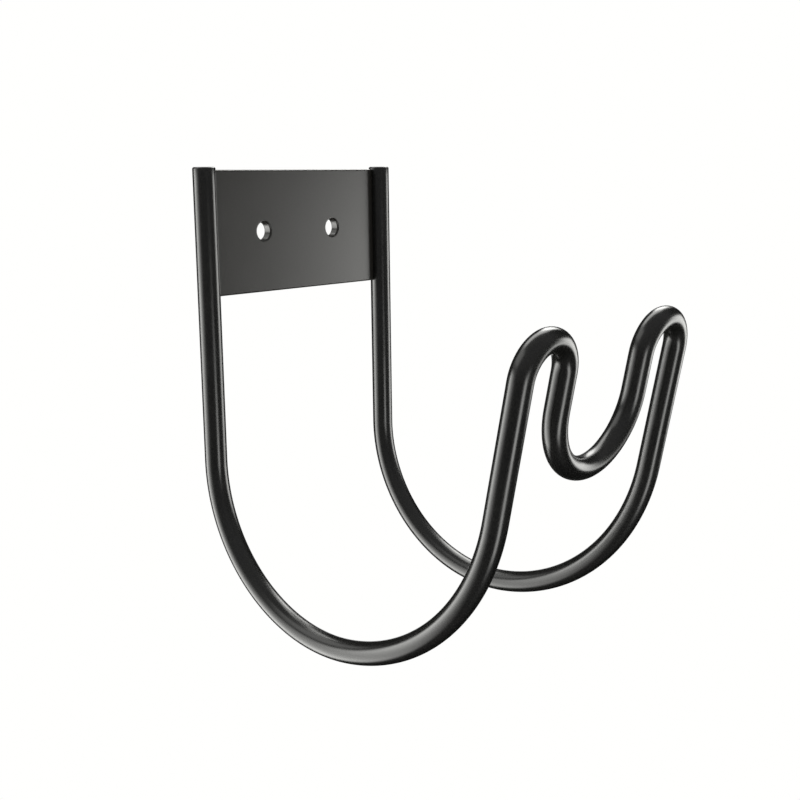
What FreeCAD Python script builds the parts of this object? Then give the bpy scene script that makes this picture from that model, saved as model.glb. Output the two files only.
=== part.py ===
import FreeCAD, Part
import math
import os

# Hose hanger: one steel rod bent into two hooks side by side, joined by a dip that holds the nozzle,
# and a flat steel plate welded between its uprights. All lengths are in millimetres.
# The wall is the plane y = 0, the hooks reach out towards -y, +z is up and x runs across.
# The origin lies on the wall plane, midway between the two screw holes.

# Overall sizes: the hook depth runs from the wall to the outside of the U bend
overall_width = 105.0
overall_height = 175.0
hook_depth = 130.0

# Rod
rod_diameter = 8.5
rod_end_chamfer = 0.6
hook_bend_angle = 96.0
arm_sweep_radius = 74.0
arm_lean = 11.3
arm_height = 125.0
nozzle_gap = 40.0
nozzle_drop = 49.0

# Plate
plate_height = 47.0
plate_thickness = 4.0
plate_edge_chamfer = 0.25
rod_end_above_plate = 1.0
screw_hole_diameter = 7.0
screw_hole_spacing = 38.0

# Weld seams
weld_end_inset = 1.5
weld_root_gap = 1.2
weld_cap_at_plate = 0.15
weld_cap_at_rod = 0.7
weld_cap_hollow = 0.12

# Derived places
rod_radius = rod_diameter / 2
rod_top_z = plate_height / 2 + rod_end_above_plate
upright_x = overall_width / 2 - rod_radius
upright_y = -rod_radius
hook_bend_radius = (hook_depth - rod_diameter) / 2
saddle_radius = (nozzle_gap + rod_diameter) / 2
peak_radius = (upright_x - saddle_radius) / 2

# The plate's flat ends just touch the round uprights, where these are widest within its thickness.
touch_offset = max(rod_radius - plate_thickness, 0.0)
plate_half_width = upright_x - math.sqrt(rod_radius**2 - touch_offset**2)


def arm_straight():
    """Return the straight length of an arm, from the end of its sweep to the start of its peak.

    The centre line rises from the U bend's lowest point along the rest of that bend, the wider
    sweep, the straight and the leaning radius of the peak. Together they reach the arm height.
    """
    bend = math.radians(hook_bend_angle)
    lean = math.radians(arm_lean)
    bend_rise = hook_bend_radius * (1 - math.sin(bend))
    sweep_rise = arm_sweep_radius * (math.sin(bend) - math.sin(lean))
    remaining_rise = arm_height - rod_diameter - bend_rise - sweep_rise
    return remaining_rise / math.cos(lean) - peak_radius


def bending_steps():
    """Return the rod's bending programme, from the left upright's end to the right one's.

    A step advances straight, bends by an angle at a radius, or rolls the plane of the next bend
    about the rod's own direction. The second half is the first one mirrored.
    """
    upright_straight = overall_height - rod_radius - hook_bend_radius
    sweep_angle = 180.0 - arm_lean - hook_bend_angle
    inner_straight = nozzle_drop - peak_radius - saddle_radius
    first_half = [
        ("advance", upright_straight),
        ("bend", hook_bend_radius, hook_bend_angle),
        ("bend", arm_sweep_radius, sweep_angle),
        ("advance", arm_straight()),
        ("roll", -90.0),
        ("bend", peak_radius, 180.0),
        ("advance", inner_straight),
        ("roll", 180.0),
    ]
    saddle = ("bend", saddle_radius, 180.0)
    return first_half + [saddle] + [mirrored(step) for step in reversed(first_half)]


def mirrored(step):
    """Return a step as it comes on the way back: only a roll changes its sense."""
    if step[0] == "roll":
        return ("roll", -step[1])
    return step


def rod_route(start, heading, side, steps):
    """Return the centre line as a wire of straight runs and tangent arcs.

    heading is the rod's direction and side points to the centre of the next bend.
    """
    edges = []
    point = start
    for kind, *values in steps:
        if kind == "advance":
            end = point + heading * values[0]
            edges.append(Part.LineSegment(point, end).toShape())
            point = end
        elif kind == "bend":
            radius, angle = values
            centre = point + side * radius
            middle = centre + turned(side * -radius, heading, side, angle / 2)
            end = centre + turned(side * -radius, heading, side, angle)
            edges.append(Part.Arc(point, middle, end).toShape())
            heading, side = turned(heading, heading, side, angle), turned(side, heading, side, angle)
            point = end
        else:
            side = FreeCAD.Rotation(heading, values[0]).multVec(side)
    return Part.Wire(edges)


def turned(vector, heading, side, angle):
    """Return vector turned by an angle from heading towards side."""
    return FreeCAD.Rotation(heading.cross(side), angle).multVec(vector)


def bent_rod():
    """Return the rod: a round section swept along its route, with its two cut ends eased."""
    start = FreeCAD.Vector(-upright_x, upright_y, rod_top_z)
    down = FreeCAD.Vector(0, 0, -1)
    outwards = FreeCAD.Vector(0, -1, 0)
    route = rod_route(start, down, outwards, bending_steps())
    section = Part.Wire(Part.makeCircle(rod_radius, start, down))
    rod = route.makePipeShell([section], True, False)
    ends = [edge for edge in rod.Edges if abs(edge.BoundBox.ZMin - rod_top_z) < 0.001
            and edge.BoundBox.ZLength < 0.001]
    return rod.makeChamfer(rod_end_chamfer, ends)


def mounting_plate():
    """Return the flat plate that fills the space between the uprights, with its two screw holes."""
    corner = FreeCAD.Vector(-plate_half_width, -plate_thickness, -plate_height / 2)
    plate = Part.makeBox(2 * plate_half_width, plate_thickness, plate_height, corner)
    inwards = FreeCAD.Vector(0, 1, 0)
    for side in (-1, 1):
        centre = FreeCAD.Vector(side * screw_hole_spacing / 2, -plate_thickness, 0)
        hole = Part.makeCylinder(screw_hole_diameter / 2, plate_thickness, centre, inwards)
        plate = plate.cut(hole)
    return plate.makeChamfer(plate_edge_chamfer, long_and_hole_edges(plate))


def long_and_hole_edges(plate):
    """Return the edges that are eased: the four that run across and the rims of the holes."""
    eased = []
    for edge in plate.Edges:
        box = edge.BoundBox
        runs_across = box.XLength > screw_hole_spacing
        is_rim = box.YLength < 0.001 and box.XLength > 0.001 and not runs_across
        if runs_across or is_rim:
            eased.append(edge)
    return eased


def weld_seam(side):
    """Return the seam in the groove between the plate's end and the round of one upright.

    Seen from above, its section is bounded by the plate's end, a narrow root that stays short of
    the groove's tip, the upright's circle and a slightly hollow cap that stays clear of the wall.
    side is -1 for the left seam and 1 for the right one.
    """
    def place(x, y):
        return FreeCAD.Vector(side * x, y, weld_end_inset - plate_height / 2)

    def on_upright(y):
        return place(upright_x - math.sqrt(rod_radius**2 - (y - upright_y)**2), y)

    root_y = weld_root_gap - plate_thickness
    root_at_plate = place(plate_half_width, root_y)
    root_at_rod = on_upright(root_y)
    cap_at_plate = place(plate_half_width, -weld_cap_at_plate)
    cap_at_rod = on_upright(-weld_cap_at_rod)
    cap_middle = (cap_at_plate + cap_at_rod) * 0.5 - FreeCAD.Vector(0, weld_cap_hollow, 0)
    halfway = on_upright((root_y - weld_cap_at_rod) / 2)
    outline = Part.Wire([
        Part.LineSegment(root_at_rod, root_at_plate).toShape(),
        Part.LineSegment(root_at_plate, cap_at_plate).toShape(),
        Part.Arc(cap_at_plate, cap_middle, cap_at_rod).toShape(),
        Part.Arc(cap_at_rod, halfway, root_at_rod).toShape(),
    ])
    length = plate_height - 2 * weld_end_inset
    return Part.Face(outline).extrude(FreeCAD.Vector(0, 0, length))


pieces = {
    "bent_rod": bent_rod(),
    "mounting_plate": mounting_plate(),
    "left_weld_seam": weld_seam(-1),
    "right_weld_seam": weld_seam(1),
}

os.makedirs("parts", exist_ok=True)
for name, shape in pieces.items():
    shape.exportStep("parts/" + name + ".step")
    print(name, "valid", shape.isValid(), "solids", len(shape.Solids), "volume", round(shape.Volume, 1))
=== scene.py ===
# %% [markdown]
# Hose hanger: loading the construction
#
# The hanger is one black painted steel rod, bent into two hooks that share a dip for a nozzle, with
# a flat plate welded between its uprights. Its sizes are settled in the CAD model, so this lesson
# starts by loading that model as a fixed frame and only gives it its looks. Every length here is in
# metres, the wall is the plane y = 0, the arms reach out towards -y and +z is up.

import math

import bmesh
import bpy
import numpy as np
from mathutils import Matrix, Vector


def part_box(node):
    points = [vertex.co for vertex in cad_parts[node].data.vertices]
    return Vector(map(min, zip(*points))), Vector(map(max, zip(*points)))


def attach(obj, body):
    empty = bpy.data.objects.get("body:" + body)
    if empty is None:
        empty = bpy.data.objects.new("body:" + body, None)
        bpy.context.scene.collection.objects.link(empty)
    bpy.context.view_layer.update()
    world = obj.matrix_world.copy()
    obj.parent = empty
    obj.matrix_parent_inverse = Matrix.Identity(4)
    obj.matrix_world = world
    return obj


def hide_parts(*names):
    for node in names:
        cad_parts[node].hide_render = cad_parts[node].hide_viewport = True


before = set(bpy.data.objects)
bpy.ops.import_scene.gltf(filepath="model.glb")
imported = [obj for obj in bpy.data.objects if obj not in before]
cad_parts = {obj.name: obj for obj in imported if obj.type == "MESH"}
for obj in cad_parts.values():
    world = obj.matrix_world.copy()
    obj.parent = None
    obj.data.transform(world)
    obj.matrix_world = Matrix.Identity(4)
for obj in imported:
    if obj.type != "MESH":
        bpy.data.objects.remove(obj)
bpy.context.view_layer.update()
print("pieces in the frame:", sorted(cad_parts))

# %% [markdown]
# Reading the rod's sizes
#
# A bent rod is fully described by its diameter, its straight lengths and its bends. Most of these
# can be read back from the boxes of the CAD pieces: the rod's box gives the width, the height and
# the depth. What a box doesn't tell is how the hook opens into the arm, so those values are
# repeated here as a workshop drawing would give them.

# %% Sizes of the rod
MM = 0.001
rod_diameter = 8.5 * MM
hook_depth = 130.0 * MM
hook_bend_angle = math.radians(96.0)
arm_sweep_radius = 74.0 * MM
arm_lean = math.radians(11.3)
arm_height = 125.0 * MM
nozzle_gap = 40.0 * MM
nozzle_drop = 49.0 * MM

rod_low, rod_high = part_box("bent_rod")
rod_radius = rod_diameter / 2
rod_top_z = rod_high.z
overall_height = rod_high.z - rod_low.z
upright_x = rod_high.x - rod_radius
upright_y = rod_high.y - rod_radius
hook_bend_radius = (hook_depth - rod_diameter) / 2
saddle_radius = (nozzle_gap + rod_diameter) / 2
peak_radius = (upright_x - saddle_radius) / 2
upright_straight = overall_height - rod_radius - hook_bend_radius
inner_straight = nozzle_drop - peak_radius - saddle_radius

bend_rise = hook_bend_radius * (1 - math.sin(hook_bend_angle))
sweep_rise = arm_sweep_radius * (math.sin(hook_bend_angle) - math.sin(arm_lean))
arm_rise = arm_height - rod_diameter - bend_rise - sweep_rise
arm_straight = arm_rise / math.cos(arm_lean) - peak_radius
print("straight lengths, mm:", [round(v / MM, 2) for v in (upright_straight, arm_straight, inner_straight)])

# %% [markdown]
# The centre line as a bending programme
#
# The workshop bends the rod in steps: push it forward, bend it, roll it about itself, and so on. The
# centre line could be drawn as a spline, but a spline only comes near to true arcs, and its uneven
# curvature shows at once in the long reflections on gloss paint. So the same steps are followed
# here, and each one gives whole arrays of points and directions.

# %% Make the steps of the programme
ring_spacing = 1.2 * MM
straight_spacing = 3 * ring_spacing
fewest_on_straight = 2
fewest_on_bend = 12


def advance(position, heading, side, length):
    """Points on a straight: position + heading * s, for s from 0 to the length."""
    count = max(fewest_on_straight, round(length / straight_spacing))
    s = np.linspace(0.0, length, count + 1)[1:, None]
    points = position + heading * s
    headings = np.repeat(heading[None, :], count, axis=0)
    return points, headings, side


def bend(position, heading, side, radius, angle):
    """Points on an arc: centre + (-side * cos a + heading * sin a) * radius, for a up to the angle.

    side points to the centre of the bend. The heading turns towards it: heading * cos a + side * sin a.
    """
    count = max(fewest_on_bend, round(radius * angle / ring_spacing))
    a = np.linspace(0.0, angle, count + 1)[1:, None]
    centre = position + side * radius
    points = centre + (heading * np.sin(a) - side * np.cos(a)) * radius
    headings = heading * np.cos(a) + side * np.sin(a)
    return points, headings, side * math.cos(angle) - heading * math.sin(angle)


down = np.array([0.0, 0.0, -1.0])
outwards = np.array([0.0, -1.0, 0.0])
dip_points = bend(np.zeros(3), down, outwards, saddle_radius, math.pi)[0]
print("points on the bend of the nozzle dip:", len(dip_points))

# %% [markdown]
# Following the programme
#
# The hanger is symmetric. Its list of steps could be written out in full, but then each change would
# have to be made twice, so it is written for half the rod. The way back is the same list in reverse,
# in which only a roll changes its sense. The one bend in the middle is the dip for the nozzle.

# %% Follow the bending programme
def centre_line():
    """Return the rod's points and headings, from the left upright's end to the right one's.

    A roll turns side about the heading h by a: side * cos a + (h x side) * sin a.
    """
    sweep_angle = math.pi - arm_lean - hook_bend_angle
    half = [
        ("advance", upright_straight), ("bend", hook_bend_radius, hook_bend_angle),
        ("bend", arm_sweep_radius, sweep_angle), ("advance", arm_straight), ("roll", -math.pi / 2),
        ("bend", peak_radius, math.pi), ("advance", inner_straight), ("roll", math.pi),
    ]
    back = [(step[0], -step[1]) if step[0] == "roll" else step for step in reversed(half)]
    position = np.array([-upright_x, upright_y, rod_top_z])
    heading, side = down, outwards
    all_points = [position[None, :]]
    all_headings = [heading[None, :]]
    for kind, *values in half + [("bend", saddle_radius, math.pi)] + back:
        if kind == "roll":
            side = side * math.cos(values[0]) + np.cross(heading, side) * math.sin(values[0])
            continue
        step = advance if kind == "advance" else bend
        points, headings, side = step(position, heading, side, *values)
        all_points.append(points)
        all_headings.append(headings)
        position, heading = points[-1], headings[-1]
    return np.concatenate(all_points), np.concatenate(all_headings)


line_points, line_headings = centre_line()
line_steps = np.linalg.norm(np.diff(line_points, axis=0), axis=1)
print("rod length along its centre line, mm:", round(line_steps.sum() / MM, 1))

# %% [markdown]
# Rings, and the faces between them
#
# A curve with a bevel would also give a round rod. A mesh made from whole rings is used instead,
# because it lets the two cut ends be shaped as well. The helpers for it also serve the plate and the
# weld beads. A piece keeps its place in its vertices, so its object stays at the origin.

# %% Turn arrays into meshes
ring_sides = 56


def mesh_object(name, vertices, faces, smooth=True):
    """Make a mesh object from arrays of vertices and faces, with its place in its vertices."""
    mesh = bpy.data.meshes.new(name)
    mesh.from_pydata(vertices.tolist(), [], faces)
    mesh.polygons.foreach_set("use_smooth", np.full(len(mesh.polygons), smooth))
    mesh.update()
    piece = bpy.data.objects.new(name, mesh)
    bpy.context.scene.collection.objects.link(piece)
    return piece


def grid_faces(rows, columns, first=0):
    """Quads between neighbouring rings: row i, column j to row i + 1, column j + 1, going round."""
    i, j = np.meshgrid(np.arange(rows - 1), np.arange(columns), indexing="ij")
    k = (j + 1) % columns
    corners = np.stack([i * columns + j, i * columns + k, (i + 1) * columns + k, (i + 1) * columns + j], -1)
    return (corners.reshape(-1, 4) + first).tolist()


def closed_tube(name, rows, tips):
    """Make an object from rings, closed at both ends by a fan to a single point."""
    count, sides = rows.shape[:2]
    here = np.arange(sides)
    after = (here + 1) % sides
    first_tip = count * sides
    faces = grid_faces(count, sides)
    faces += np.stack([after, here, np.full(sides, first_tip)], 1).tolist()
    last = here + first_tip - sides
    last_after = after + first_tip - sides
    faces += np.stack([last, last_after, np.full(sides, first_tip + 1)], 1).tolist()
    return mesh_object(name, np.concatenate([rows.reshape(-1, 3), tips]), faces)


print("faces between two rings of the rod:", len(grid_faces(2, ring_sides)))

# %% [markdown]
# The cut ends
#
# The saw leaves a flat face on each end of the rod, the edge is broken, and the powder rounds it
# further. Bevel could round that edge too. Here the rings do it, so that the rod needs no modifier:
# they shrink through a quarter round and close on the flat in a single point.

# %% Shape the cut ends
rod_end_round = 0.7 * MM
end_round_steps = 6
flat_ring_shares = np.array([0.35, 0.8])


def end_profile():
    """Radius and set-back of the rings that shape a cut end, from its flat face to the full rod.

    The quarter round is radius = r - c + c * sin a and set-back = c - c * cos a, for a from 0 to 90
    degrees, and the flat inside it has two more rings before its centre point.
    """
    a = np.linspace(0.0, math.pi / 2, end_round_steps + 1)
    flat_radius = rod_radius - rod_end_round
    radius = np.concatenate([flat_ring_shares * flat_radius, flat_radius + rod_end_round * np.sin(a)])
    set_back = np.concatenate([np.zeros(len(flat_ring_shares)), rod_end_round * (1 - np.cos(a))])
    return radius, set_back


print("radii of the end's rings, mm:", np.round(end_profile()[0] / MM, 2).tolist())

# %% [markdown]
# From centre line to round rod
#
# Every ring stands square to the centre line. On a path that turns in several planes, rings can
# twist against each other. Here no part of the rod ever points towards one certain level direction,
# so each ring takes its start from the cross product with that direction, and none can flip.

# %% Sweep the rod
end_clearance = 1.5 * rod_end_round


def swept_rod(points, headings):
    """Return the rod's vertices: centre + (u * cos b + v * sin b) * radius on every ring.

    u and v are square to the heading. u is the cross product with a direction that no part of the
    rod ever points in, so the rings never flip.
    """
    radius, set_back = end_profile()
    body = slice(np.searchsorted(np.cumsum(line_steps), end_clearance) + 1, None)
    start_centres = points[0] + headings[0] * set_back[:, None]
    end_centres = (points[-1] - headings[-1] * set_back[:, None])[::-1]
    middle = points[body][:-1]
    centres = np.concatenate([start_centres, middle, end_centres])
    radii = np.concatenate([radius, np.full(len(middle), rod_radius), radius[::-1]])
    along = np.concatenate([np.repeat(headings[:1], len(radius), 0), headings[body][:-1],
                            np.repeat(headings[-1:], len(radius), 0)])
    away = np.array([1.0, 1.0, 0.0]) / math.sqrt(2.0)
    u = np.cross(along, away)
    u /= np.linalg.norm(u, axis=1, keepdims=True)
    v = np.cross(along, u)
    b = np.linspace(0.0, 2 * math.pi, ring_sides, endpoint=False)
    ring = u[:, None, :] * np.cos(b)[None, :, None] + v[:, None, :] * np.sin(b)[None, :, None]
    return centres[:, None, :] + ring * radii[:, None, None]


rings = swept_rod(line_points, line_headings)
poles = np.stack([line_points[0], line_points[-1]])
painted_rod = closed_tube("painted_rod", rings, poles)
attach(painted_rod, "root")
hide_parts("bent_rod")
print("rod rings:", len(rings), "faces:", len(painted_rod.data.polygons))

# %% [markdown]
# The mounting plate
#
# On the real hanger this is a piece of flat steel bar with two drilled holes. It could be a box with
# holes cut by booleans, but those leave long thin faces that shade badly under gloss paint. Here the
# front face is laid out as rings that open from each hole to the border of its half of the plate.

# %% Lay out the plate
hole_diameter = 7.0 * MM
hole_spacing = 38.0 * MM
plate_seat = 0.35 * MM
join_distance = 0.001 * MM
border_points = 26
ring_shares = np.array([0.0, 0.07, 0.16, 0.3, 0.5, 0.72, 0.88, 1.0])

plate_low, plate_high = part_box("mounting_plate")
plate_thickness = plate_high.y - plate_low.y


def border_path(x_low, x_high, z_low, z_high):
    """Points round a rectangle, from its upper right corner downwards and on, equally many a side."""
    corners = np.array([[x_high, z_high], [x_high, z_low], [x_low, z_low], [x_low, z_high]])
    share = np.linspace(0.0, 1.0, border_points, endpoint=False)[None, :, None]
    sides = corners[:, None, :] * (1 - share) + np.roll(corners, -1, axis=0)[:, None, :] * share
    return sides.reshape(-1, 2)


def half_sheet(hole_x, x_low, x_high, z_low, z_high):
    """Rings between a hole and a border: (1 - s) * rim + s * border, for s from 0 to 1.

    The rim point is centre + radius * (border - centre) / |border - centre|, in the same direction.
    """
    border = border_path(x_low, x_high, z_low, z_high)
    centre = np.array([hole_x, 0.0])
    outwards = border - centre
    rim = centre + outwards / np.linalg.norm(outwards, axis=1, keepdims=True) * hole_diameter / 2
    s = ring_shares[:, None, None]
    flat = (1 - s) * rim + s * border
    front = np.full(flat.shape[:2], plate_low.y)
    return np.stack([flat[..., 0], front, flat[..., 1]], axis=-1)


half_length = plate_high.x + plate_seat
right_half = half_sheet(hole_spacing / 2, 0.0, half_length, plate_low.z, plate_high.z)
left_half = half_sheet(-hole_spacing / 2, -half_length, 0.0, plate_low.z, plate_high.z)
around_border = 4 * border_points
sheet_vertices = np.concatenate([right_half.reshape(-1, 3), left_half.reshape(-1, 3)])
sheet_faces = grid_faces(len(ring_shares), around_border)
sheet_faces += grid_faces(len(ring_shares), around_border, len(ring_shares) * around_border)
painted_plate = mesh_object("painted_plate", sheet_vertices, sheet_faces)

# The two halves meet at x = 0, where their equal points are joined.
joined = bmesh.new()
joined.from_mesh(painted_plate.data)
bmesh.ops.remove_doubles(joined, verts=joined.verts, dist=join_distance)
joined.to_mesh(painted_plate.data)
joined.free()
print("plate, mm:", round(2 * half_length / MM, 1), "by", round((plate_high.z - plate_low.z) / MM, 1))

# %% [markdown]
# The plate's thickness and edges
#
# Solidify gives the sheet its thickness, and Bevel rounds every edge: rolled bar has soft corners, a
# drilled hole has its rim broken, and the powder fills out what is left. The bevel hardens the
# normals, so that the flat faces look flat right up to the rounding.

# %% Thicken the plate and ease its edges
paint_round = 0.7 * MM
paint_round_steps = 4
sharp_angle = math.radians(40.0)

thicken = painted_plate.modifiers.new("bar_thickness", "SOLIDIFY")
thicken.thickness = plate_thickness
thicken.offset = -1.0
ease = painted_plate.modifiers.new("painted_edges", "BEVEL")
ease.width = paint_round
ease.segments = paint_round_steps
ease.limit_method = "ANGLE"
ease.angle_limit = sharp_angle
ease.use_clamp_overlap = False
ease.harden_normals = True
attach(painted_plate, "root")
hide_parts("mounting_plate")
print("plate thickness, mm:", round(plate_thickness / MM, 1), "edge round, mm:", round(paint_round / MM, 1))

# %% [markdown]
# The weld beads
#
# The plate's flat ends touch the round uprights along a line, which leaves a narrow groove at the
# back. A weld fills it: a row of small overlapping pools that set one after the other, so that the
# bead shows crescent ripples and tapers off at both ends. A displaced tube would lose the groove's
# shape, so the section is fitted between the plate and the rod first and the ripples go on its cap.
# The powder flows into the folds between two pools, which leaves the ripples low and soft.

# %% Shape a weld bead
bead_sides = 30
bead_row_spacing = 0.15 * MM
bead_end_rows = 10
bead_sink = 0.2 * MM
bead_fullness = 0.65
ripple_pitch = 1.5 * MM
ripple_depth = 0.13 * MM
fold_fill = 0.3
crescent = 0.6 * MM
taper_length = 1.8 * MM


def upright_face(y):
    """The upright's side towards the plate: X - sqrt(r^2 - d^2), where d is how far y is from its axis."""
    return upright_x - np.sqrt(rod_radius ** 2 - (y - upright_y) ** 2)


def weld_bead(node, side):
    """Return a bead's vertices as rows of rings, and the two points that close it.

    Round the loop, across = |cos b| ** fullness and depth = |sin b| ** fullness, with their signs.
    Across runs from the plate's end to the upright, and depth from the root to the cap. The cap
    falls by about the ripple depth between two pools: 1 - sqrt(sin^2(pi * z / pitch) + fill^2).
    Both shrink to nothing along the taper, as sqrt(1 - t^2).
    """
    low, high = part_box(node)
    b = np.linspace(0.0, 2 * math.pi, bead_sides, endpoint=False)
    across = (np.sign(np.cos(b)) * np.abs(np.cos(b)) ** bead_fullness)[None, :]
    depth = (np.sign(np.sin(b)) * np.abs(np.sin(b)) ** bead_fullness)[None, :]
    reach = (high.z - low.z) / 2
    straight = reach - taper_length
    end = straight + taper_length * np.sin(np.linspace(0.0, math.pi / 2, bead_end_rows, endpoint=False)[1:])
    body = np.linspace(-straight, straight, round(2 * straight / bead_row_spacing))
    z = np.concatenate([-end[::-1], body, end])[:, None]
    past = np.clip((np.abs(z) - straight) / taper_length, 0.0, 1.0)
    taper = np.sqrt(1 - past ** 2)
    pool = np.hypot(np.sin(math.pi * (z + crescent * (1 - across ** 2)) / ripple_pitch), fold_fill)
    crest = math.hypot(1.0, fold_fill)
    cap = high.y - ripple_depth * (crest - pool) * (depth > 0)
    middle = (low.y + high.y) / 2
    y = middle + np.where(depth > 0, cap - middle, middle - low.y) * depth * taper
    plate_side = plate_high.x
    groove = upright_face(y) - plate_side
    x = plate_side + groove / 2 + across * taper * (groove / 2 + bead_sink)
    rows = np.stack([side * x, y, np.broadcast_to(z, y.shape)], axis=-1)
    tip_x = side * (plate_side + upright_face(middle)) / 2
    tips = np.array([[tip_x, middle, -reach], [tip_x, middle, reach]])
    return rows[:, ::side, :], tips


print("rows along a bead:", len(weld_bead("right_weld_seam", 1)[0]))

# %% [markdown]
# Laying the two beads
#
# A weld ends in a rounded tip, so each bead is closed like the rod, by a small fan at both ends. The
# left bead is the right one mirrored. A mirrored mesh would be inside out, so its rings also run the
# other way round, which turns its faces outwards again.

# %% Lay the weld beads
for node, side in (("left_weld_seam", -1), ("right_weld_seam", 1)):
    bead = closed_tube(node.replace("weld_seam", "weld_bead"), *weld_bead(node, side))
    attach(bead, "root")
    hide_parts(node)
    print(bead.name, "faces:", len(bead.data.polygons))

# %% [markdown]
# The camera
#
# The hanger is seen from the front left and a little above. The camera's place was found by fitting
# the printed sizes to the outlines, so it is written as a direction, a distance and a small slide,
# and the lens as its focal length in pixels of an image 800 pixels wide.

# %% Place the camera
image_size = 800
sensor_width = 36.0
focal_pixels = 1185.0
view_azimuth = math.radians(-49.29)
view_elevation = math.radians(10.54)
view_roll = math.radians(-0.77)
pixels_per_mm = 2.635
slide_right = -3.00 * MM
slide_up = -2.79 * MM
aim_forwards = 60.0 * MM
aim_height = 90.0 * MM
nearest_seen = 0.01
target = Vector((0.0, -aim_forwards, rod_low.z + aim_height))

backwards = Vector((
    math.sin(view_azimuth) * math.cos(view_elevation),
    -math.cos(view_azimuth) * math.cos(view_elevation),
    math.sin(view_elevation),
))
level_right = Vector((math.cos(view_azimuth), math.sin(view_azimuth), 0.0))
level_up = backwards.cross(level_right)
camera_right = level_right * math.cos(view_roll) + level_up * math.sin(view_roll)
camera_up = level_up * math.cos(view_roll) - level_right * math.sin(view_roll)
distance = focal_pixels / pixels_per_mm * MM
camera_place = target + backwards * distance + level_right * slide_right + level_up * slide_up

camera_data = bpy.data.cameras.new("camera")
camera_data.sensor_width = sensor_width
camera_data.lens = focal_pixels * sensor_width / image_size
camera_data.clip_start = nearest_seen
camera = bpy.data.objects.new("camera", camera_data)
camera.matrix_world = Matrix((
    (camera_right.x, camera_up.x, backwards.x, camera_place.x),
    (camera_right.y, camera_up.y, backwards.y, camera_place.y),
    (camera_right.z, camera_up.z, backwards.z, camera_place.z),
    (0.0, 0.0, 0.0, 1.0),
))
bpy.context.scene.collection.objects.link(camera)
bpy.context.scene.camera = camera
print("camera distance, mm:", round(distance / MM), "lens, mm:", round(camera_data.lens, 1))

# %% [markdown]
# Building with nodes
#
# The room, the lamps and the paints are all node trees. Placing each node by hand takes many lines,
# so four small helpers empty a tree, add a node with its settings, ramp a value softly and take the
# larger of two.

# %% Helpers for nodes
white = (1.0, 1.0, 1.0, 1.0)


def nodes_of(owner):
    """Return the emptied node tree of a material, a world or a lamp."""
    owner.use_nodes = True
    tree = owner.node_tree
    tree.nodes.clear()
    return tree


def add_node(tree, kind, **settings):
    """Add a node, set its inputs and properties by name, and return it."""
    node = tree.nodes.new(kind)
    for name, value in settings.items():
        title = name.replace("_", " ")
        if title in node.inputs:
            node.inputs[title].default_value = value
        else:
            setattr(node, name, value)
    return node


def smooth_step(tree, socket, low, high, at_low, at_high):
    """Return a socket that goes smoothly from at_low to at_high while socket goes from low to high."""
    step = add_node(tree, "ShaderNodeMapRange", From_Min=low, From_Max=high, To_Min=at_low, To_Max=at_high)
    step.interpolation_type = "SMOOTHSTEP"
    tree.links.new(socket, step.inputs["Value"])
    return step.outputs["Result"]


def larger(tree, first, second):
    """Return a socket with the larger of two values."""
    node = add_node(tree, "ShaderNodeMath", operation="MAXIMUM")
    tree.links.new(first, node.inputs[0])
    tree.links.new(second, node.inputs[1])
    return node.outputs[0]


studio = bpy.data.worlds.new("studio")
bpy.context.scene.world = studio
print("nodes in the emptied world:", len(nodes_of(studio).nodes))

# %% [markdown]
# The backdrop
#
# Gloss black shows little of its own colour: what the eye reads is the room that it mirrors. The
# camera sees a white backdrop. The paint mirrors the same white, but only straight behind the hanger
# where that backdrop stands. A white room on all sides would turn the black paint grey and wash out
# the dark line along each edge of the rod.

# %% Stand up the backdrop
backdrop_edge = 0.97
backdrop_full = 0.99

tree = studio.node_tree
path = add_node(tree, "ShaderNodeLightPath")
mirrored = larger(tree, path.outputs["Is Glossy Ray"], path.outputs["Is Transmission Ray"])
shown = larger(tree, path.outputs["Is Camera Ray"], mirrored)
coordinates = add_node(tree, "ShaderNodeTexCoord")
behind = add_node(tree, "ShaderNodeVectorMath", operation="DOT_PRODUCT")
behind.inputs[1].default_value = -backwards
tree.links.new(coordinates.outputs["Generated"], behind.inputs[0])
in_backdrop = smooth_step(tree, behind.outputs["Value"], backdrop_edge, backdrop_full, 0.0, 1.0)
whiteness = larger(tree, path.outputs["Is Camera Ray"], in_backdrop)
print("backdrop seen in the paint within degrees:", round(math.degrees(math.acos(backdrop_edge))))

# %% [markdown]
# The room
#
# Round the backdrop the paint mirrors a dim room, a little lighter above than below, and darkest on
# the backdrop's side. Only camera and mirror rays see all this. Matt surfaces get plain daylight from
# everywhere instead, which could also be done with more lamps, but those would show in the paint.

# %% Light the room
backdrop_white = (1.0, 1.0, 0.99, 1.0)
room_below = 0.12
room_above = 0.30
room_behind = 0.12
daylight = 0.45
height_range = (-0.5, 0.7)
depth_range = (-0.2, 0.5)

height = add_node(tree, "ShaderNodeSeparateXYZ")
tree.links.new(coordinates.outputs["Generated"], height.inputs[0])
room = add_node(tree, "ShaderNodeBackground", Color=white)
by_height = smooth_step(tree, height.outputs["Z"], *height_range, room_below, room_above)
by_depth = smooth_step(tree, behind.outputs["Value"], *depth_range, 1.0, room_behind)
dimness = add_node(tree, "ShaderNodeMath", operation="MULTIPLY")
tree.links.new(by_height, dimness.inputs[0])
tree.links.new(by_depth, dimness.inputs[1])
tree.links.new(dimness.outputs[0], room.inputs["Strength"])
backdrop = add_node(tree, "ShaderNodeBackground", Color=backdrop_white, Strength=1.0)
ambient = add_node(tree, "ShaderNodeBackground", Color=white, Strength=daylight)
choose_backdrop = add_node(tree, "ShaderNodeMixShader")
choose_shown = add_node(tree, "ShaderNodeMixShader")
output = add_node(tree, "ShaderNodeOutputWorld")
tree.links.new(whiteness, choose_backdrop.inputs[0])
tree.links.new(room.outputs[0], choose_backdrop.inputs[1])
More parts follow.
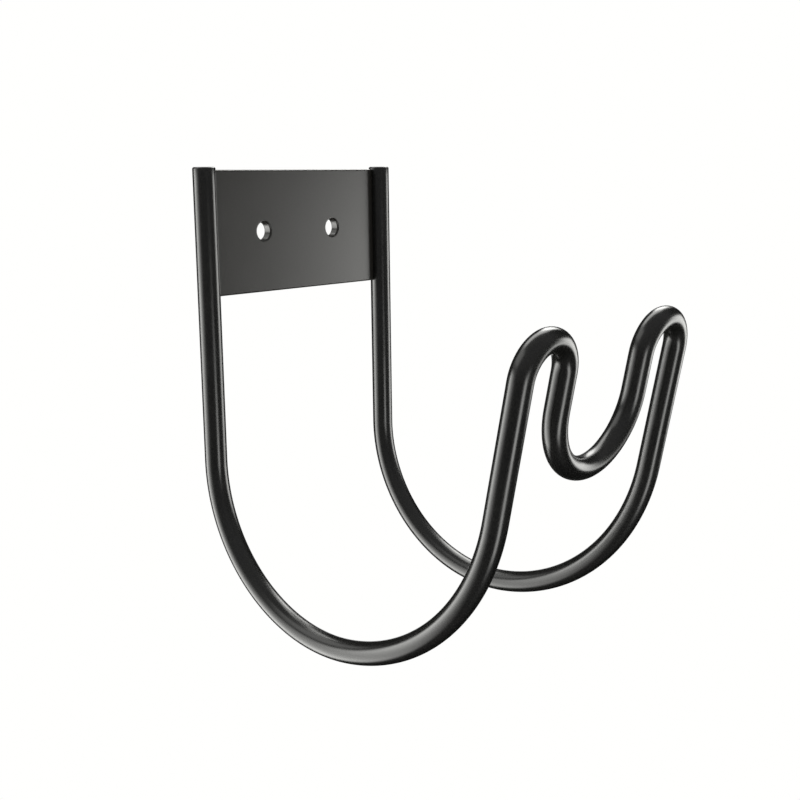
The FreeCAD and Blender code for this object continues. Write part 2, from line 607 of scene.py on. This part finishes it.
tree.links.new(backdrop.outputs[0], choose_backdrop.inputs[2])
tree.links.new(shown, choose_shown.inputs[0])
tree.links.new(ambient.outputs[0], choose_shown.inputs[1])
tree.links.new(choose_backdrop.outputs[0], choose_shown.inputs[2])
tree.links.new(choose_shown.outputs[0], output.inputs["Surface"])
print("nodes in the world:", len(tree.nodes))

# %% [markdown]
# The floor
#
# A pale floor lies well below the hanger, so its shadow falls out of the picture, as it does when a
# thing hangs in front of white paper. To the camera the paper glows a little, which hides the line
# where floor and backdrop meet and still lets a shadow show. Gloss paint doesn't see it: there the
# dim room goes on, because a real studio keeps light from below off a black rod.

# %% Lay the floor
floor_drop = 0.9
floor_half = 60.0
glow_near = 0.85
glow_from = 0.9
glow_full = 1.6
paper_white = (0.8, 0.8, 0.79, 1.0)
floor_z = rod_low.z - floor_drop

floor_corners = np.array([[-1.0, -1.0], [1.0, -1.0], [1.0, 1.0], [-1.0, 1.0]]) * floor_half
floor = mesh_object(
    "floor",
    np.column_stack([floor_corners, np.full(4, floor_z)]),
    [(0, 1, 2, 3)],
    smooth=False,
)
floor.visible_glossy = False
floor_paper = bpy.data.materials.new("floor_paper")
tree = nodes_of(floor_paper)
path = add_node(tree, "ShaderNodeLightPath")
paper = add_node(tree, "ShaderNodeBsdfDiffuse", Color=paper_white)
glow = add_node(tree, "ShaderNodeEmission", Color=backdrop_white, Strength=1.0)
place = add_node(tree, "ShaderNodeTexCoord")
away = add_node(tree, "ShaderNodeVectorMath", operation="LENGTH")
tree.links.new(place.outputs["Object"], away.inputs[0])
share = add_node(tree, "ShaderNodeMath", operation="MULTIPLY")
by_distance = smooth_step(tree, away.outputs["Value"], glow_from, glow_full, glow_near, 1.0)
tree.links.new(by_distance, share.inputs[1])
blend = add_node(tree, "ShaderNodeMixShader")
output = add_node(tree, "ShaderNodeOutputMaterial")
tree.links.new(path.outputs["Is Camera Ray"], share.inputs[0])
tree.links.new(share.outputs[0], blend.inputs[0])
tree.links.new(paper.outputs[0], blend.inputs[1])
tree.links.new(glow.outputs[0], blend.inputs[2])
tree.links.new(blend.outputs[0], output.inputs["Surface"])
floor.data.materials.append(floor_paper)
print("floor below the hanger, mm:", round(floor_drop / MM))

# %% [markdown]
# The cloth of a soft box
#
# A soft box is a lamp behind a white cloth, brightest in the middle. An area lamp is evenly bright
# up to a hard border, and that border would show as a line on the paint. So its nodes dim it towards
# its edges, and some boxes also fade from one side to the other, as when the lamp stands off centre.

# %% Dim a lamp towards its edges
cloth_middle = (0.5, 0.5, 0.0)
cloth_edge = 0.5


def light_cloth(lamp_data, border, fade):
    """Dim a lamp over the outer border share of the way from its middle to each edge.

    fade can give two places across it, from 0 on the side of smaller turn to 1, and the shares of
    the brightness there.
    """
    tree = nodes_of(lamp_data)
    surface = add_node(tree, "ShaderNodeNewGeometry")
    from_middle = add_node(tree, "ShaderNodeVectorMath", operation="SUBTRACT")
    from_middle.inputs[1].default_value = cloth_middle
    distances = add_node(tree, "ShaderNodeVectorMath", operation="ABSOLUTE")
    place = add_node(tree, "ShaderNodeSeparateXYZ")
    offset = add_node(tree, "ShaderNodeSeparateXYZ")
    shine = add_node(tree, "ShaderNodeEmission")
    output = add_node(tree, "ShaderNodeOutputLight")
    tree.links.new(surface.outputs["Parametric"], place.inputs[0])
    tree.links.new(surface.outputs["Parametric"], from_middle.inputs[0])
    tree.links.new(from_middle.outputs[0], distances.inputs[0])
    tree.links.new(distances.outputs[0], offset.inputs[0])
    outermost = larger(tree, offset.outputs["X"], offset.outputs["Y"])
    strength = smooth_step(tree, outermost, cloth_edge * (1.0 - border), cloth_edge, 1.0, 0.0)
    if fade is not None:
        faded = add_node(tree, "ShaderNodeMath", operation="MULTIPLY")
        tree.links.new(strength, faded.inputs[0])
        tree.links.new(smooth_step(tree, place.outputs["X"], *fade), faded.inputs[1])
        strength = faded.outputs[0]
    tree.links.new(strength, shine.inputs["Strength"])
    tree.links.new(shine.outputs[0], output.inputs["Surface"])


print("from a cloth's middle to its edge, as a share of its size:", cloth_edge)

# %% [markdown]
# The first soft box
#
# Six soft boxes draw all the highlights. The first is a tall one to the left and a little behind. It
# fades towards the camera, and gives each length of rod its broad bright flank. A box could be hung
# by its coordinates, but a direction as seen from the hanger is easier to think in. Its brightness is
# set as seen in a mirror, beside white: watts = brightness * pi * area.

# %% Hang the first soft box
lamp_white = (1.0, 1.0, 0.97)


def soft_box(name, turn, rise, reach, spread, brightness, border, fade=None):
    """Hang a rectangular lamp that faces the hanger.

    turn and rise are its direction in degrees, with the camera at turn 0. spread is half its width
    and half its height, in degrees as seen from the hanger. border and fade are those of its cloth.
    """
    a = view_azimuth + math.radians(turn)
    e = math.radians(rise)
    direction = Vector((math.sin(a) * math.cos(e), -math.cos(a) * math.cos(e), math.sin(e)))
    lamp_data = bpy.data.lights.new(name, "AREA")
    lamp_data.shape = "RECTANGLE"
    lamp_data.color = lamp_white
    lamp_data.size = 2 * reach * math.tan(math.radians(spread[0]))
    lamp_data.size_y = 2 * reach * math.tan(math.radians(spread[1]))
    lamp_data.energy = brightness * math.pi * lamp_data.size * lamp_data.size_y
    light_cloth(lamp_data, border, fade)
    lamp = bpy.data.objects.new(name, lamp_data)
    lamp.location = target + direction * reach
    lamp.rotation_euler = direction.to_track_quat("Z", "Y").to_euler()
    lamp.visible_camera = False
    bpy.context.scene.collection.objects.link(lamp)
    return lamp


left_flank = soft_box(
    "left_flank_box", turn=-81, rise=-23, reach=0.8, spread=(34, 43), brightness=6.9, border=0.5,
    fade=(0.1, 0.85, 1.0, 0.1))
print("left flank box, watts:", round(left_flank.data.energy, 1))

# %% [markdown]
# The other soft boxes
#
# Their places come from asking, all along the rod, which direction the paint mirrors where a
# highlight lies. A weak box above the first one carries the bright flank over the bends. A low one
# at the front right lifts the lower bends. One to the right rear fades towards the front, and the
# flat plate mirrors just that fade, so it goes from dark grey to light grey. The last two hang high
# behind and overhead, for the tops of the bends.

# %% Hang the other soft boxes
boxes = [
    soft_box(
        "high_left_box", turn=-88, rise=42, reach=1.0, spread=(34, 22), brightness=1.3, border=0.6),
    soft_box(
        "low_front_box", turn=35, rise=-28, reach=0.8, spread=(13, 26), brightness=4.8, border=0.7),
    soft_box(
        "right_rear_box", turn=112, rise=-6, reach=1.0, spread=(19, 17), brightness=4.9, border=0.5,
        fade=(0.0, 0.38, 0.05, 1.0)),
    soft_box(
        "high_rear_box", turn=159, rise=39, reach=1.0, spread=(17, 16), brightness=7.2, border=0.6),
    soft_box(
        "overhead_box", turn=-170, rise=62, reach=1.0, spread=(34, 18), brightness=4.0, border=0.5),
]
print("watts:", {box.name: round(box.data.energy, 1) for box in boxes})

# %% [markdown]
# Powder coat
#
# The hanger is powder coated in gloss black: a plastic skin that flows out in the oven, smooth but
# with a faint orange peel, a touch duller in some spots than in others, and finely speckled by the
# grains it was made of. A plain black with one roughness looks like plastic from a computer, so one
# noise gives the peel as a very shallow bump, a second one varies the roughness and a third, very
# fine one varies the tone.

# %% Mix the powder coat
grain_size = 0.6 * MM
patch_size = 14.0 * MM
noise_range = (0.3, 0.7)
paint_ior = 1.6


def powder_coat(name, shade, speckle, shiny, dull, peel_size, peel_depth):
    """Make a gloss black powder coat.

    shade is its colour, and speckle the share by which the grains vary it either way. shiny and dull
    are the limits of its roughness. The orange peel is a noise with waves of peel_size, raised by
    peel_depth.
    """
    material = bpy.data.materials.new(name)
    tree = nodes_of(material)
    shader = add_node(tree, "ShaderNodeBsdfPrincipled", IOR=paint_ior)
    output = add_node(tree, "ShaderNodeOutputMaterial")
    place = add_node(tree, "ShaderNodeTexCoord")
    peel = add_node(tree, "ShaderNodeTexNoise", Scale=1.0 / peel_size, Detail=4.0, Roughness=0.6)
    patches = add_node(tree, "ShaderNodeTexNoise", Scale=1.0 / patch_size, Detail=3.0)
    grains = add_node(tree, "ShaderNodeTexNoise", Scale=1.0 / grain_size, Detail=1.0)
    bump = add_node(tree, "ShaderNodeBump", Strength=1.0, Distance=peel_depth)
    for texture in (peel, patches, grains):
        tree.links.new(place.outputs["Object"], texture.inputs["Vector"])
    tones = add_node(tree, "ShaderNodeValToRGB")
    for stop, position, share in zip(tones.color_ramp.elements, noise_range, (1 - speckle, 1 + speckle)):
        stop.position = position
        stop.color = [share * part for part in shade] + [1.0]
    gloss = smooth_step(tree, patches.outputs["Fac"], *noise_range, shiny, dull)
    tree.links.new(grains.outputs["Fac"], tones.inputs["Fac"])
    tree.links.new(tones.outputs["Color"], shader.inputs["Base Color"])
    tree.links.new(gloss, shader.inputs["Roughness"])
    tree.links.new(peel.outputs["Fac"], bump.inputs["Height"])
    tree.links.new(bump.outputs["Normal"], shader.inputs["Normal"])
    tree.links.new(shader.outputs[0], output.inputs["Surface"])
    return material


rod_black = (0.005, 0.005, 0.0044)
rod_paint = powder_coat(
    "rod_powder_coat", shade=rod_black, speckle=0.8, shiny=0.20, dull=0.26,
    peel_size=0.7 * MM, peel_depth=0.0045 * MM)
print("paint made:", rod_paint.name, "with", len(rod_paint.node_tree.nodes), "nodes")

# %% [markdown]
# Coating the pieces
#
# The plate gets the same recipe, a little duller and in a warmer, paler black, because powder lies
# thinner on a flat face. The weld beads get a coarser and duller skin, over their rough metal. One
# paint for all would be simpler, but the plate would then look like a part of the rod.

# %% Coat the pieces
plate_black = (0.0120, 0.0108, 0.0088)
weld_black = (0.006, 0.006, 0.0053)
plate_paint = powder_coat(
    "plate_powder_coat", shade=plate_black, speckle=0.15, shiny=0.28, dull=0.30,
    peel_size=1.4 * MM, peel_depth=0.003 * MM)
weld_paint = powder_coat(
    "weld_powder_coat", shade=weld_black, speckle=0.5, shiny=0.34, dull=0.42,
    peel_size=0.8 * MM, peel_depth=0.012 * MM)
finishes = {
    "painted_rod": rod_paint,
    "painted_plate": plate_paint,
    "left_weld_bead": weld_paint,
    "right_weld_bead": weld_paint,
}
for name, paint in finishes.items():
    bpy.data.objects[name].data.materials.append(paint)
print("finishes:", {name: paint.name for name, paint in finishes.items()})

# %% [markdown]
# The view transform
#
# The picture uses the Standard view transform, so a colour shows as it is written.

# %% Set the view transform
scene = bpy.context.scene
scene.view_settings.view_transform = "Standard"
bpy.context.view_layer.update()
